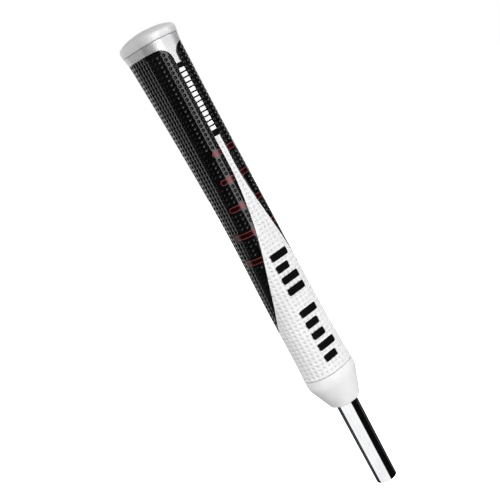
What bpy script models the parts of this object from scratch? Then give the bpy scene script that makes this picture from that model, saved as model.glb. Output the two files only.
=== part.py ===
"""Pistol-shaped putter grip on the end of a steel putter shaft.

The bore axis is Z, with the end cap at the top and the cut end of the shaft at Z = 0.
The flat front of the grip faces -Y and the deep rounded back faces +Y.
All lengths below are in millimetres. Heights are counted from the mouth of the grip,
where the shaft comes out, and `world` turns them into metres above the shaft's cut end.
"""

import math

import bmesh
import bpy
import numpy as np

MM = 0.001
OBJECT_NAME = "putter_grip"

# Shaft: parallel inside the grip, tapering from the mouth down to its cut end
SHAFT_RADIUS = 7.6
SHAFT_END_RADIUS = 7.2
SHAFT_WALL = 0.55
SHAFT_BELOW_MOUTH = 62.0
SHAFT_TOP = 250.0

# Fits
TOUCH_GAP = 0.3
SEAM_GAP = 0.3
LAYER_GAP = 0.4
TAPE_THICKNESS = 0.3
SKIN_THICKNESS = 1.2
FELT_THICKNESS = 0.5
TAPE_RADIUS = SHAFT_RADIUS + TOUCH_GAP
BORE_RADIUS = TAPE_RADIUS + TAPE_THICKNESS + TOUCH_GAP
FELT_INSET = SKIN_THICKNESS + LAYER_GAP
CORE_INSET = FELT_INSET + FELT_THICKNESS + LAYER_GAP

# Heights along the grip
TAPE_BOTTOM = 3.0
TAPE_TOP = 245.0
COLLAR_TOP = 24.3
SKIN_BOTTOM = COLLAR_TOP + TOUCH_GAP
SKIRT_TOP = 259.9
CAP_BOTTOM = SKIRT_TOP + TOUCH_GAP
CORE_TOP = SKIRT_TOP
FELT_TOP = 240.4

# Cross-section at five heights: height, half width, front, back, front corner radius,
# and waist, which is how far behind the bore axis the rounded back begins.
STATIONS = (
    (22.0, 18.25, 12.8, 14.8, 15.3, 2.6),
    (75.0, 16.65, 10.4, 18.7, 12.3, 3.6),
    (140.0, 14.0, 11.2, 20.9, 9.2, 6.2),
    (205.0, 13.0, 11.4, 26.6, 9.2, 10.5),
    (270.0, 13.5, 11.7, 32.8, 10.4, 15.0),
)
SWELL_HEIGHT = 23.0
SWELL_LENGTH = 7.0
SWELL_SIZE = 0.5
FLARE_BOTTOM = 250.0
FLARE_SIZE = 0.9

# Edge between the white sheet and the black sheet, as a distance round the surface
# from the middle of the front
STRIPE_HALF_WIDTH = 2.15
WEDGE_TIP = 193.0
WEDGE_START = 172.0
WEDGE_GROWTH = 0.01315
WEDGE_POWER = 1.6
SWEEP_START = 84.0
SWEEP_GROWTH = 0.0075
TAIL_GAP = 1.5

# Tang at the front of the cap skirt and the flare that joins it to the skirt
TANG_BOTTOM = 242.4
TANG_HALF_WIDTH = 1.67
TANG_FLARE_BOTTOM = 246.4
TANG_FLARE_WIDTH = 10.5
TANG_FLARE_RISE = 8.0
SKIRT_BOTTOM = 254.7
SKIRT_SLOPE_END = 25.0
FLARE_SHARES = (0.0, 0.04, 0.13, 0.3, 0.6, 1.0)

# End cap
CAP_WALL_TOP = 263.9
CAP_CROWN = 6.0
CAP_STEPS = 5
CAP_RIM_SPREAD = 0.5
CAP_RIM_SHARE = 0.97
SPIGOT_RADIUS = SHAFT_RADIUS - SHAFT_WALL - TOUCH_GAP
SPIGOT_BOTTOM = 243.0
SPIGOT_OVERLAP = 2.0
VENT_RADIUS = 1.2
VENT_OVERRUN = 5.0

# Lower collar: it keeps the grip's oval down to its shoulder, then narrows to a round lip
COLLAR_SHOULDER = 17.6
COLLAR_LIP = 1.5
COLLAR_LIP_RADIUS = 11.2
COLLAR_LIP_SETBACK = 0.5
COLLAR_RINGS = 7
MOUTH_RADIUS = 9.9
LIP_ROUND_HEIGHT = 0.4
LIP_ROUND_RADIUS = 10.8
SPIGOT_COLLAR_RADIUS = 10.4
SPIGOT_COLLAR_HEIGHT = 6.0

# Mesh resolution
RING_SIDES = 40
ROUND_SIDES = 40
CUTTER_SIDES = 24
SHEET_COLUMNS = 18
BODY_ROWS = 9
WEDGE_ROWS = 20
BRIDGE_ROWS = 4
WEDGE_SAMPLES = 200
HEIGHT_WEIGHT = 0.12
WEDGE_SEARCH_STEP = 0.1
OUTLINE_POINTS = 40
MERGE_DISTANCE = 0.0001


def world(x, y, height):
    """A point in metres above the shaft's cut end, from millimetres above the mouth."""
    return (x * MM, y * MM, (height + SHAFT_BELOW_MOUTH) * MM)


def smooth_column(height, column):
    """One column of STATIONS at a height, on a cubic that passes through every station."""
    heights = [row[0] for row in STATIONS]
    values = [row[column] for row in STATIONS]
    slopes = np.gradient(values, heights)
    span = int(np.clip(np.searchsorted(heights, height) - 1, 0, len(heights) - 2))
    length = heights[span + 1] - heights[span]
    t = (height - heights[span]) / length
    start = (1 + 2 * t) * (1 - t) ** 2 * values[span] + t * (1 - t) ** 2 * length * slopes[span]
    end = t * t * (3 - 2 * t) * values[span + 1] + t * t * (t - 1) * length * slopes[span + 1]
    return start + end


def swelling(height):
    """How far the section stands out where it swells above the collar and under the cap."""
    bottom = SWELL_SIZE * math.exp(-(((height - SWELL_HEIGHT) / SWELL_LENGTH) ** 2))
    top = max(0.0, (height - FLARE_BOTTOM) / (CAP_BOTTOM - FLARE_BOTTOM))
    return bottom + FLARE_SIZE * top**2


def half_outline(height, inset):
    """The right half of the section, from the middle of the front to the middle of the back."""
    half_width, front, back, corner, waist = (smooth_column(height, n) for n in range(1, 6))
    grow = swelling(height) - inset
    half_width, front, back, corner = (v + grow for v in (half_width, front, back, corner))
    waist = max(waist, corner - front)
    turn = np.linspace(0.0, math.pi / 2, OUTLINE_POINTS)
    corner_x = half_width - corner + corner * np.sin(turn)
    corner_y = -(front - corner + corner * np.cos(turn))
    back_x = half_width * np.cos(turn)
    back_y = waist + (back - waist) * np.sin(turn)
    xs = np.concatenate([[0.0], corner_x, back_x])
    ys = np.concatenate([[-front], corner_y, back_y])
    return xs, ys


def arc_lengths(xs, ys):
    return np.concatenate([[0.0], np.cumsum(np.hypot(np.diff(xs), np.diff(ys)))])


def half_perimeter(height):
    return arc_lengths(*half_outline(height, 0.0))[-1]


def surface_point(height, arc, inset=0.0):
    """A point on the right half of the skin's outer surface, `arc` round from the front."""
    xs, ys = half_outline(height, inset)
    lengths = arc_lengths(xs, ys)
    reach = arc / half_perimeter(height) * lengths[-1]
    return np.interp(reach, lengths, xs), np.interp(reach, lengths, ys)


def ring(height, inset, sides=RING_SIDES):
    """The whole section as points, anticlockwise from above, starting at the front."""
    half = sides // 2
    right = [surface_point(height, half_perimeter(height) * n / half, inset) for n in range(half + 1)]
    left = [(-x, y) for x, y in right[-2:0:-1]]
    return [(x, y) for x, y in right + left]


def wedge_edge(height):
    """Half the white sheet's width at a height, measured round the surface."""
    fall = max(0.0, WEDGE_START - height)
    sweep = max(0.0, SWEEP_START - height)
    return STRIPE_HALF_WIDTH + WEDGE_GROWTH * fall**WEDGE_POWER + SWEEP_GROWTH * sweep**2


def wedge_bottom():
    """The height at which the white sheet's two edges meet at the back."""
    height = WEDGE_START
    while wedge_edge(height) < half_perimeter(height):
        height -= WEDGE_SEARCH_STEP
    return height


def wedge_heights(bottom, count):
    """Heights up to the wedge's tip, closer together where its edge sweeps round the grip."""
    heights = np.linspace(bottom, WEDGE_TIP - SEAM_GAP / 2, WEDGE_SAMPLES)
    edges = [min(wedge_edge(height), half_perimeter(height)) for height in heights]
    steps = np.abs(np.diff(edges)) + HEIGHT_WEIGHT * np.diff(heights)
    travel = np.concatenate([[0.0], np.cumsum(steps)])
    return list(np.interp(np.linspace(0.0, travel[-1], count), travel, heights))


def skirt_edge(arc):
    """Height of the skirt's lower edge at a distance round the surface from the front."""
    beyond = arc - TANG_HALF_WIDTH
    if beyond < TANG_FLARE_WIDTH:
        rise = math.sqrt(max(0.0, 1.0 - (1.0 - beyond / TANG_FLARE_WIDTH) ** 2))
        return TANG_FLARE_BOTTOM + TANG_FLARE_RISE * rise
    flare_top = TANG_FLARE_BOTTOM + TANG_FLARE_RISE
    flare_end = TANG_HALF_WIDTH + TANG_FLARE_WIDTH
    along = min(1.0, (arc - flare_end) / (SKIRT_SLOPE_END - flare_end))
    return flare_top + (SKIRT_BOTTOM - flare_top) * along


def material(name, color, roughness, metallic=0.0):
    made = bpy.data.materials.new(name)
    made.use_nodes = True
    shader = made.node_tree.nodes["Principled BSDF"]
    shader.inputs["Base Color"].default_value = (*color, 1.0)
    shader.inputs["Roughness"].default_value = roughness
    shader.inputs["Metallic"].default_value = metallic
    return made


def add_object(name, mesh, collection, finish=None):
    made = bpy.data.objects.new(name, mesh)
    collection.objects.link(made)
    if finish:
        mesh.materials.append(finish)
    return made


def mesh_from_bmesh(name, shape):
    mesh = bpy.data.meshes.new(name)
    shape.to_mesh(mesh)
    shape.free()
    return mesh


def smooth_shade(obj, angle_deg=35.0):
    obj.data.shade_smooth()
    obj.data.set_sharp_from_angle(angle=math.radians(angle_deg))


def loft(name, rings, closed_loop=False):
    """A body through rings of equal length, given top first, either capped or a closed loop."""
    shape = bmesh.new()
    rows = [[shape.verts.new(point) for point in points] for points in rings]
    pairs = list(zip(rows, rows[1:]))
    if closed_loop:
        pairs.append((rows[-1], rows[0]))
    for upper, lower in pairs:
        count = len(upper)
        for n in range(count):
            after = (n + 1) % count
            shape.faces.new((upper[n], lower[n], lower[after], upper[after]))
    if not closed_loop:
        shape.faces.new(rows[0])
        shape.faces.new(rows[-1][::-1])
    bmesh.ops.recalc_face_normals(shape, faces=shape.faces)
    return mesh_from_bmesh(name, shape)


def sheet(name, columns_of_rows, skip=None):
    """The right half of an open sheet: a grid of points, with some cells left out."""
    shape = bmesh.new()
    grid = [[shape.verts.new(point) for point in row] for row in columns_of_rows]
    for r, (lower, upper) in enumerate(zip(grid, grid[1:])):
        for c in range(len(lower) - 1):
            if skip and skip(r, c):
                continue
            shape.faces.new((lower[c], lower[c + 1], upper[c + 1], upper[c]))
    loose = [vert for vert in shape.verts if not vert.link_faces]
    bmesh.ops.delete(shape, geom=loose, context="VERTS")
    return mesh_from_bmesh(name, shape)


def thicken_and_mirror(obj, thickness):
    """Makes a half sheet whole across the X = 0 plane and gives it thickness inward."""
    mirror = obj.modifiers.new("mirror", "MIRROR")
    mirror.merge_threshold = MERGE_DISTANCE
    shell = obj.modifiers.new("thickness", "SOLIDIFY")
    shell.thickness = thickness * MM
    shell.offset = -1.0
    shell.use_even_offset = True


def turned(name, profile, collection, finish):
    """A turned piece from a closed profile of (radius, height), outer side first, top to bottom."""
    shape = bmesh.new()
    points = [shape.verts.new(world(radius, 0.0, height)) for radius, height in profile]
    for n, point in enumerate(points):
        shape.edges.new((point, points[(n + 1) % len(points)]))
    piece = add_object(name, mesh_from_bmesh(name, shape), collection, finish)
    screw = piece.modifiers.new("turn", "SCREW")
    screw.steps = ROUND_SIDES
    screw.render_steps = ROUND_SIDES
    screw.use_merge_vertices = True
    screw.merge_threshold = MERGE_DISTANCE
    screw.use_smooth_shade = False
    return piece


def tube_profile(outer, inner, top, bottom):
    return [(outer, top), (outer, bottom), (inner, bottom), (inner, top)]


def make_shaft(collection, finish):
    inner, end_inner = SHAFT_RADIUS - SHAFT_WALL, SHAFT_END_RADIUS - SHAFT_WALL
    end = -SHAFT_BELOW_MOUTH
    profile = [(SHAFT_RADIUS, SHAFT_TOP), (SHAFT_RADIUS, 0.0), (SHAFT_END_RADIUS, end)]
    profile += [(end_inner, end), (inner, 0.0), (inner, SHAFT_TOP)]
    return turned("shaft", profile, collection, finish)


def make_grip_tape(collection, finish):
    profile = tube_profile(TAPE_RADIUS + TAPE_THICKNESS, TAPE_RADIUS, TAPE_TOP, TAPE_BOTTOM)
    return turned("grip_tape", profile, collection, finish)


def circle(radius, setback=0.0):
    """A round ring with as many points as a section ring, starting at the front."""
    turns = [2 * math.pi * n / RING_SIDES for n in range(RING_SIDES)]
    return [(radius * math.sin(turn), setback - radius * math.cos(turn)) for turn in turns]


def placed(points, height):
    return [world(x, y, height) for x, y in points]


def blended(first, second, share):
    return [
        (x1 + (x2 - x1) * share, y1 + (y2 - y1) * share)
        for (x1, y1), (x2, y2) in zip(first, second)
    ]


def make_lower_collar(collection, finish):
    """Swells from the oval grip and tapers to the round mouth, with a spigot into the core."""
    lip = circle(COLLAR_LIP_RADIUS, COLLAR_LIP_SETBACK)
    rings = [
        placed(circle(BORE_RADIUS), COLLAR_TOP + SPIGOT_COLLAR_HEIGHT),
        placed(circle(SPIGOT_COLLAR_RADIUS), COLLAR_TOP + SPIGOT_COLLAR_HEIGHT),
        placed(circle(SPIGOT_COLLAR_RADIUS), COLLAR_TOP),
    ]
    for height in [COLLAR_TOP, *np.linspace(COLLAR_SHOULDER, COLLAR_LIP, COLLAR_RINGS - 1)]:
        share = (COLLAR_SHOULDER - height) / (COLLAR_SHOULDER - COLLAR_LIP)
        rings.append(placed(blended(ring(height, 0.0), lip, max(0.0, share)), height))
    rings.append(placed(circle(LIP_ROUND_RADIUS, COLLAR_LIP_SETBACK), LIP_ROUND_HEIGHT))
    rings.append(placed(circle(MOUTH_RADIUS, COLLAR_LIP_SETBACK), 0.0))
    rings.append(placed(circle(BORE_RADIUS), 0.0))
    return add_object("lower_collar", loft("lower_collar", rings, closed_loop=True), collection, finish)


def make_foam_core(collection, finish):
    """The foam body that gives the grip its shape, bored for the shaft."""
    counterbore = SPIGOT_COLLAR_RADIUS + TOUCH_GAP
    shoulder = SKIN_BOTTOM + SPIGOT_COLLAR_HEIGHT
    heights = np.linspace(CORE_TOP, SKIN_BOTTOM, BODY_ROWS)
    rings = [placed(circle(BORE_RADIUS), CORE_TOP)]
    rings += [placed(ring(height, CORE_INSET), height) for height in heights]
    rings.append(placed(circle(counterbore), SKIN_BOTTOM))
    rings.append(placed(circle(counterbore), shoulder))
    rings.append(placed(circle(BORE_RADIUS), shoulder))
    return add_object("foam_core", loft("foam_core", rings, closed_loop=True), collection, finish)


def make_felt(collection, finish):
    """The thin felt between the foam and the skin, split along the back."""
    seam = SEAM_GAP / 2
    columns = RING_SIDES // 2
    rows = []
    for height in np.linspace(SKIN_BOTTOM, FELT_TOP, BODY_ROWS):
        reach = half_perimeter(height) - seam
        arcs = np.linspace(0.0, reach, columns + 1)
        rows.append([world(*surface_point(height, arc, FELT_INSET), height) for arc in arcs])
    piece = add_object("felt_backing", sheet("felt_backing", rows), collection, finish)
    thicken_and_mirror(piece, FELT_THICKNESS)
    return piece


def flared_arcs(start, end):
    """Distances round the surface, closer together where the skirt's tang flares."""
    top_reach = half_perimeter(SKIRT_BOTTOM) - start
    flare = [TANG_FLARE_WIDTH * share for share in FLARE_SHARES]
    rest = np.linspace(flare[-1], top_reach, SHEET_COLUMNS - len(flare) + 2)[1:]
    return [start + (end - start) * distance / top_reach for distance in [*flare, *rest]]


def black_start(height):
    """Where the black sheet begins, round from the middle of the front."""
    if height < WEDGE_TIP:
        return wedge_edge(height) + SEAM_GAP / 2
    tang = TANG_HALF_WIDTH + TOUCH_GAP
    along = (height - WEDGE_TIP) / (TANG_BOTTOM - WEDGE_TIP)
    stripe = STRIPE_HALF_WIDTH + SEAM_GAP / 2
    return stripe + (tang - stripe) * min(1.0, along)


def make_black_skin(collection, finish):
    """The upper sheet: it wraps to the back seam, round the skirt's tang and the white wedge."""
    tail = wedge_bottom() + TAIL_GAP
    lower = wedge_heights(tail, WEDGE_ROWS)
    bridge = list(np.linspace(WEDGE_TIP + SEAM_GAP / 2, TANG_BOTTOM - TOUCH_GAP, BRIDGE_ROWS))
    heights = lower + bridge + [TANG_FLARE_BOTTOM, SKIRT_BOTTOM]
    rows = []
    for height in heights:
        level = min(height, TANG_FLARE_BOTTOM)
        reach = half_perimeter(level) - SEAM_GAP / 2
        row = [world(*surface_point(height, 0.0), height)]
        for arc in flared_arcs(black_start(level), reach):
            top = skirt_edge(arc - TOUCH_GAP) - TOUCH_GAP
            row_height = height if height < SKIRT_BOTTOM else max(top, TANG_FLARE_BOTTOM + TOUCH_GAP)
            row.append(world(*surface_point(row_height, arc), row_height))
        rows.append(row)
    first_bridge = len(lower)
    last_bridge = first_bridge + len(bridge) - 1

    def outside_bridge(row, column):
        return column == 0 and not first_bridge <= row < last_bridge

    mesh = sheet("skin_black", rows, skip=outside_bridge)
    piece = add_object("skin_black", mesh, collection, finish)
    thicken_and_mirror(piece, SKIN_THICKNESS)
    return piece


def make_white_skin(collection, finish):
    """The lower sheet: a wedge up the front that widens until it wraps right round."""
    closing = wedge_bottom()
    heights = [SKIN_BOTTOM, 0.5 * (SKIN_BOTTOM + closing), closing]
    heights += wedge_heights(closing + TAIL_GAP, WEDGE_ROWS)
    rows = []
    for height in heights:
        reach = min(wedge_edge(height), half_perimeter(height)) - SEAM_GAP / 2
        arcs = np.linspace(0.0, reach, SHEET_COLUMNS + 2)
        rows.append([world(*surface_point(height, arc), height) for arc in arcs])
    piece = add_object("skin_white", sheet("skin_white", rows), collection, finish)
    thicken_and_mirror(piece, SKIN_THICKNESS)
    return piece


def make_cap_skirt(collection, finish):
    """The ring under the end cap, with a tang that runs down the middle of the front."""
    reach = half_perimeter(SKIRT_BOTTOM)
    arcs = [0.0, *flared_arcs(TANG_HALF_WIDTH, reach)]
    rows = []
    for share in (0.0, 0.5, 1.0):
        row = []
        for arc in arcs:
            bottom = skirt_edge(arc) if arc > TANG_HALF_WIDTH else TANG_BOTTOM
            height = bottom + (SKIRT_TOP - bottom) * share
            ending = min(arc, half_perimeter(height)) if arc < reach else half_perimeter(height)
            row.append(world(*surface_point(height, ending), height))
        rows.append(row)
    piece = add_object("cap_skirt", sheet("cap_skirt", rows), collection, finish)
    thicken_and_mirror(piece, SKIN_THICKNESS)
    return piece


def round_cutter(name, radius, bottom, top, collection):
    """A cylinder on the bore axis, kept out of the render."""
    bpy.ops.mesh.primitive_cylinder_add(
        vertices=CUTTER_SIDES,
        radius=radius * MM,
        depth=(top - bottom) * MM,
        location=world(0.0, 0.0, 0.5 * (top + bottom)),
    )
    made = bpy.context.object
    made.name = name
    for owner in list(made.users_collection):
        owner.objects.unlink(made)
    collection.objects.link(made)
    made.hide_render = True
    made.display_type = "WIRE"
    return made


def boolean(obj, tool, operation):
    cut = obj.modifiers.new(tool.name, "BOOLEAN")
    cut.operation = operation
    cut.solver = "EXACT"
    cut.object = tool


def make_end_cap(collection, cutters, finish):
    """The crowned lid, with a spigot that plugs the shaft's bore and a vent through both."""
    base = ring(CAP_BOTTOM, 0.0)
    middle_y = 0.5 * (max(y for _, y in base) + min(y for _, y in base))
    rim = ring(CAP_BOTTOM, -CAP_RIM_SPREAD)
    rings = []
    for step in range(CAP_STEPS, 0, -1):
        scale = math.cos(0.5 * math.pi * step / (CAP_STEPS + 1)) if step > 1 else CAP_RIM_SHARE
        height = CAP_WALL_TOP + CAP_CROWN * math.sqrt(max(0.0, 1.0 - scale**2))
        rings.append(placed([(x * scale, middle_y + (y - middle_y) * scale) for x, y in rim], height))
    rings.append(placed(rim, CAP_WALL_TOP))
    rings.append(placed(base, CAP_BOTTOM))
    cap = add_object("end_cap", loft("end_cap", rings), collection, finish)
    spigot_top = CAP_BOTTOM + SPIGOT_OVERLAP
    vent_bottom = SPIGOT_BOTTOM - VENT_OVERRUN
    vent_top = CAP_WALL_TOP + CAP_CROWN + VENT_OVERRUN
    spigot = round_cutter("spigot_tool", SPIGOT_RADIUS, SPIGOT_BOTTOM, spigot_top, cutters)
    vent = round_cutter("vent_tool", VENT_RADIUS, vent_bottom, vent_top, cutters)
    boolean(cap, spigot, "UNION")
    boolean(cap, vent, "DIFFERENCE")
    return cap


def main():
    for obj in list(bpy.data.objects):
        bpy.data.objects.remove(obj, do_unlink=True)
    parts = bpy.data.collections.new(OBJECT_NAME)
    cutters = bpy.data.collections.new("cutters")
    for collection in (parts, cutters):
        bpy.context.scene.collection.children.link(collection)

    silver = material("silver_plastic", (0.75, 0.76, 0.78), 0.3, 0.6)
    black = material("black_polyurethane", (0.012, 0.012, 0.014), 0.4)
    white = material("white_polyurethane", (0.82, 0.82, 0.82), 0.5)
    collar = material("white_rubber", (0.78, 0.78, 0.79), 0.45)
    foam = material("grey_foam", (0.25, 0.25, 0.27), 0.9)
    felt = material("felt", (0.45, 0.43, 0.4), 0.95)
    tape = material("grip_tape", (0.8, 0.74, 0.6), 0.7)
    chrome = material("chrome", (0.8, 0.8, 0.82), 0.08, 1.0)

    made = [
        make_shaft(parts, chrome),
        make_grip_tape(parts, tape),
        make_foam_core(parts, foam),
        make_felt(parts, felt),
        make_black_skin(parts, black),
        make_white_skin(parts, white),
        make_lower_collar(parts, collar),
        make_cap_skirt(parts, silver),
        make_end_cap(parts, cutters, silver),
    ]
    for obj in made:
        smooth_shade(obj)


main()
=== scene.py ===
"""Studio looks for the putter grip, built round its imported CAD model.

Heights are millimetres above the mouth of the grip, where the shaft comes out, and arcs are
millimetres round the surface from the middle of the flat front, positive towards +X.
`Surface.wrap` turns them into metres in the CAD frame. The moulded sheets are meshed flat, in
arc and height, cut along the printed and fitted edges, and only then wrapped round the grip.
"""

import math

import bmesh
import bpy
import numpy as np
from mathutils import Matrix, Quaternion, Vector


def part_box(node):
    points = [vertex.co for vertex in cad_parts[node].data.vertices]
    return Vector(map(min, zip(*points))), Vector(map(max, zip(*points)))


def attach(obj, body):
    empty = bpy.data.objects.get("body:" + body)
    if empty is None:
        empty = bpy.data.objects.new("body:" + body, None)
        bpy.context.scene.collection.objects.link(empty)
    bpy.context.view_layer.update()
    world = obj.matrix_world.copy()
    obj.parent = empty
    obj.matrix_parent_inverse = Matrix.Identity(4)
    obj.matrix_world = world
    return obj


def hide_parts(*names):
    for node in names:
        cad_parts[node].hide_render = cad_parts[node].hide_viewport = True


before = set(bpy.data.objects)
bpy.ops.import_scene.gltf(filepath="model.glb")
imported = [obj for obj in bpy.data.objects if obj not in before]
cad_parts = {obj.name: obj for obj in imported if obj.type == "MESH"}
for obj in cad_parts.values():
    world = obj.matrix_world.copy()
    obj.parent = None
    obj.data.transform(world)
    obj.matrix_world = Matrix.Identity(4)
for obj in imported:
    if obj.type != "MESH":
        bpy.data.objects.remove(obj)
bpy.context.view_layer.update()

MM = 0.001
BODY = "root"

# Section of the grip, as in the CAD: height, half width, front, back, corner radius, waist
STATIONS = np.array(
    [
        (22.0, 18.25, 12.8, 14.8, 15.3, 2.6),
        (75.0, 16.65, 10.4, 18.7, 12.3, 3.6),
        (140.0, 14.0, 11.2, 20.9, 9.2, 6.2),
        (205.0, 13.0, 11.4, 26.6, 9.2, 10.5),
        (270.0, 13.5, 11.7, 32.8, 10.4, 15.0),
    ]
)
SWELL_HEIGHT, SWELL_LENGTH, SWELL_SIZE = 23.0, 7.0, 0.5
FLARE_BOTTOM, FLARE_SIZE = 250.0, 0.9
OUTLINE_POINTS = 60
RING_SIDES = 144

# Heights of the pieces' ends, and the mouth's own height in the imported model
COLLAR_TOP = 24.3
SKIN_BOTTOM = 24.6
SKIRT_TOP = 259.9
CAP_BOTTOM = 260.2
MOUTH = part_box("lower_collar")[0].z / MM
SKIN_THICKNESS = 1.2

# Edge between the white and the black sheet, and how every sheet's edge rolls down beside it
STRIPE_HALF_WIDTH = 2.15
WEDGE_TIP = 193.0
WEDGE_START, WEDGE_GROWTH, WEDGE_POWER = 172.0, 0.01315, 1.6
SWEEP_START, SWEEP_GROWTH = 84.0, 0.0075
GROOVE = 0.13
ROLL = 0.2
ROLL_DROP = 0.09

# Skirt under the cap, with its tang
TANG_BOTTOM = 242.4
TANG_HALF_WIDTH = 1.67
TANG_FLARE_BOTTOM, TANG_FLARE_WIDTH, TANG_FLARE_RISE = 246.4, 10.5, 8.0
SKIRT_BOTTOM, SKIRT_SLOPE_END = 254.7, 25.0
FLARE_POINTS = 40
BACK_SEAM = 0.02
FAR = 99.0

# Moulded dimples, and the plain margins beside edges, print and slots
COLUMN_PITCH = 3.48
ROW_PITCH = 2.974
TOP_ROW = 250.2
ROWS_ABOVE, ROWS_BELOW = 2, 78
COLUMNS_EACH_SIDE = 19
DIMPLE_RADII = (1.26, 1.14, 0.88, 0.48, 0.0)
DIMPLE_DEPTHS = (0.0, 0.06, 0.38, 0.62, 0.74)
DIMPLE_SIDES = 12
EDGE_MARGIN = 0.85
SKIRT_MARGIN = 1.5
PRINT_HALF_WIDTH = 1.0
SLOT_END_MARGIN, SLOT_HALF_BAND = 1.3, 3.6

# Red slots: rows below the top row, half lengths, outline width, and gap beside the wedge
SLOT_ROWS = (22.5, 28.5, 34.5, 40.5, 46.5)
SLOT_HALF_LENGTHS = (9.3, 13.0, 16.8, 24.4, 26.0)
SLOT_HALF_HEIGHT = 1.75
SLOT_LINE = 0.44
SLOT_START = 0.3

# Print and paint stand this far above the skin, on a border turned down into it
FLOOR_LIFT, LINE_LIFT, MARK_LIFT = 0.03, 0.07, 0.06
PRINT_HEM = 0.25
PRINT_STEP = 0.7

# Meshing: how near a cut a face is split, how far a short cut runs past its ends, the
# distance within which a cut keeps to a point, and the distances within which points merge
CUT_REACH = 2.5
CUT_MARGIN = 1.0
CUT_SNAP = 0.01
MERGE_FLAT = 0.02
MERGE_WORLD = 1e-6

# Cap: the wall's top, the crown's rise, the rim's spread and the vent over the bore
CAP_WALL_TOP, CAP_CROWN, CAP_RIM_SPREAD = 263.9, 6.0, 0.5
CAP_CROWN_SHARE = 0.965
VENT_RADIUS, VENT_DEPTH, VENT_SIDES = 1.2, 3.0, 32

# Collar: oval above the shoulder, round at the lip
COLLAR_SHOULDER, COLLAR_LIP, COLLAR_SOFTNESS = 17.6, 1.5, 0.012
LIP_RADIUS, LIP_SETBACK = 11.2, 0.5
MOUTH_RADIUS, BORE_RADIUS, BORE_CHAMFER, BORE_DEPTH = 9.9, 8.5, 0.25, 12.0

# Shaft, which narrows below the mouth
SHAFT_TAPER, SHAFT_WALL, SHAFT_CHAMFER = 0.4, 0.55, 0.15


def smooth_columns(height):
    """The five section sizes at a height, on cubics that pass through every station."""
    heights, values = STATIONS[:, 0], STATIONS[:, 1:]
    slopes = np.gradient(values, heights, axis=0)
    span = int(np.clip(np.searchsorted(heights, height) - 1, 0, len(heights) - 2))
    length = heights[span + 1] - heights[span]
    t = (height - heights[span]) / length
    start = (1 + 2 * t) * (1 - t) ** 2 * values[span] + t * (1 - t) ** 2 * length * slopes[span]
    end = t * t * (3 - 2 * t) * values[span + 1] + t * t * (t - 1) * length * slopes[span + 1]
    return start + end


def swelling(height):
    """How far the section stands out: a bulge above the collar and a flare under the cap."""
    bottom = SWELL_SIZE * math.exp(-(((height - SWELL_HEIGHT) / SWELL_LENGTH) ** 2))
    top = max(0.0, (height - FLARE_BOTTOM) / (CAP_BOTTOM - FLARE_BOTTOM))
    return bottom + FLARE_SIZE * min(1.0, top) ** 2


def half_outline(height, grow=0.0):
    """Right half of the section, from the middle of the front to the middle of the back."""
    half_width, front, back, corner, waist = smooth_columns(height)
    grow = grow + swelling(height)
    half_width, front, back, corner = (v + grow for v in (half_width, front, back, corner))
    waist = max(waist, corner - front)
    turn = np.linspace(0.0, math.pi / 2, OUTLINE_POINTS)
    corner_x = half_width - corner + corner * np.sin(turn)
    corner_y = -(front - corner + corner * np.cos(turn))
    back_x = half_width * np.cos(turn)
    back_y = waist + (back - waist) * np.sin(turn)
    return np.concatenate([[0.0], corner_x, back_x]), np.concatenate([[-front], corner_y, back_y])


def arc_lengths(xs, ys):
    """Length along an outline to each of its points."""
    return np.concatenate([[0.0], np.cumsum(np.hypot(np.diff(xs), np.diff(ys)))])


class Surface:
    """The skin's outer surface, tabulated over height and share of the way round."""

    STEP = 0.5
    TOP = 268.0
    SHARES = 281

    def __init__(self):
        self.heights = np.arange(0.0, self.TOP + self.STEP, self.STEP)
        shares = np.linspace(0.0, 1.0, self.SHARES)
        points = np.empty((len(self.heights), self.SHARES, 2))
        self.reach = np.empty(len(self.heights))
        for n, height in enumerate(self.heights):
            xs, ys = half_outline(height)
            lengths = arc_lengths(xs, ys)
            self.reach[n] = lengths[-1]
            points[n, :, 0] = np.interp(shares * lengths[-1], lengths, xs)
            points[n, :, 1] = np.interp(shares * lengths[-1], lengths, ys)
        around = np.gradient(points, axis=1, edge_order=2)
        along = np.gradient(points, self.STEP, axis=0)
        normal = np.stack(
            [
                around[..., 1],
                -around[..., 0],
                around[..., 0] * along[..., 1] - around[..., 1] * along[..., 0],
            ],
            axis=-1,
        )
        normal /= np.linalg.norm(normal, axis=-1, keepdims=True)
        self.table = np.concatenate([points, normal], axis=-1)

    def half_perimeter(self, heights):
        """Distance round the surface from the middle of the front to the middle of the back."""
        return np.interp(heights, self.heights, self.reach)

    def sample(self, arcs, heights):
        """x, y and normal at each arc and height."""
        row = np.clip(heights / self.STEP, 0.0, len(self.heights) - 1.001)
        share = np.clip(np.abs(arcs) / self.half_perimeter(heights), 0.0, 1.0)
        column = np.clip(share * (self.SHARES - 1), 0.0, self.SHARES - 1.001)
        r, c = row.astype(int), column.astype(int)
        u, v = (row - r)[:, None], (column - c)[:, None]
        lower = self.table[r, c] * (1 - v) + self.table[r, c + 1] * v
        upper = self.table[r + 1, c] * (1 - v) + self.table[r + 1, c + 1] * v
        found = lower * (1 - u) + upper * u
        side = np.where(arcs < 0.0, -1.0, 1.0)
        found[:, 0] *= side
        found[:, 2] *= side
        return found

    def wrap(self, arcs, heights, lift):
        """World points in metres, `lift` millimetres above the skin."""
        found = self.sample(arcs, heights)
        normal = found[:, 2:]
        points = np.column_stack([found[:, 0], found[:, 1], heights + MOUTH])
        return (points + normal * np.asarray(lift)[:, None]) * MM


grip = Surface()


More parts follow.
